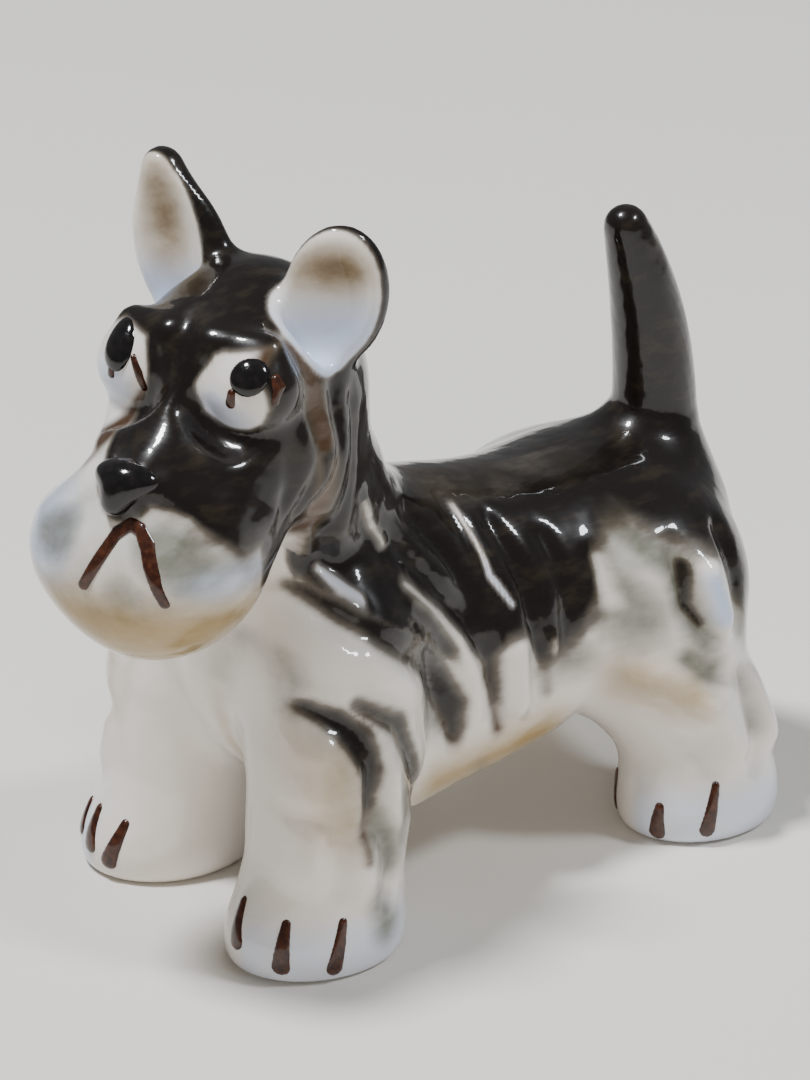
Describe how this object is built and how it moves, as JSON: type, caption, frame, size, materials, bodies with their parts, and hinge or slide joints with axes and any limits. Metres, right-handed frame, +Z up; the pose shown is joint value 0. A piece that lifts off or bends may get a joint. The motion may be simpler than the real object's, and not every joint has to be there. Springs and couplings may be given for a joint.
{
  "type": "ceramic dog figurine",
  "caption": "Small glazed ceramic terrier figurine standing on four legs, head turned to its left, with upright ears and tail and painted coat markings.",
  "frame": {"origin": "on the ground, at the centre of the bounding box in plan", "axes": "the dog faces -Y, its left side is +X, +Z is up"},
  "size_m": [0.0278, 0.0496, 0.0444],
  "materials": {
    "torso_glaze": "clear gloss glaze over black and brown brushwork on white ware",
    "head_glaze": "clear gloss glaze over black brushwork on white ware",
    "ear_glaze": "clear gloss glaze on white ware with a soft brown tint",
    "tail_glaze": "gloss black glaze",
    "leg_glaze": "clear gloss glaze on white ware with grey-black touches",
    "black_enamel": "gloss black enamel fired on the glaze",
    "brown_enamel": "red-brown enamel fired on the glaze"
  },
  "bodies": {
    "root": {"torso": "torso_glaze", "head": "head_glaze", "ear_left": "ear_glaze", "ear_right": "ear_glaze", "tail": "tail_glaze", "foreleg_left": "leg_glaze", "foreleg_right": "leg_glaze", "hindleg_left": "leg_glaze", "hindleg_right": "leg_glaze", "nose": "black_enamel", "pupil_left": "black_enamel", "pupil_right": "black_enamel", "eye_line_left": "brown_enamel", "eye_line_right": "brown_enamel", "mouth_line": "brown_enamel", "claws_fore_left": "brown_enamel", "claws_fore_right": "brown_enamel", "claws_hind_left": "brown_enamel", "claws_hind_right": "brown_enamel"}
  },
  "joints": []
}
